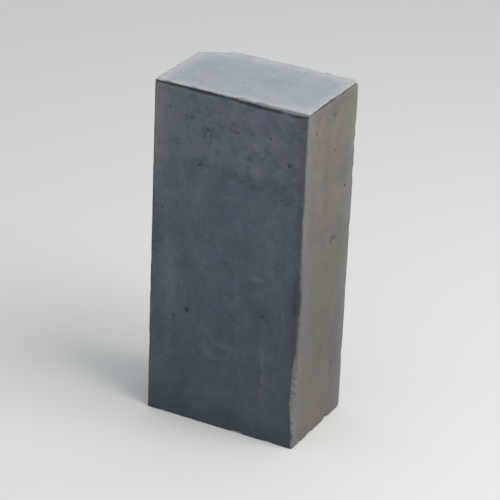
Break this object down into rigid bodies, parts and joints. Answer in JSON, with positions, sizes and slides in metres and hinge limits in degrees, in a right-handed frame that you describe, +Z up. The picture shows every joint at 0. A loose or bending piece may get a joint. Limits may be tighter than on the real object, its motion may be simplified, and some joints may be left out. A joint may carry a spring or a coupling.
{
  "type": "concrete curb",
  "caption": "Precast concrete curb block: a straight rectangular casting with one long corner bevelled off, standing on its end.",
  "frame": {"origin": "middle of the foot end, on the ground", "axes": "+Z up along the curb's length, +X across its wide side, away from the bevelled corner, +Y across its narrow side, towards the bevelled corner"},
  "size_m": [0.28, 0.18, 0.6],
  "materials": {
    "concrete": "matte"
  },
  "bodies": {
    "root": {"curb_block": "concrete"}
  },
  "joints": []
}
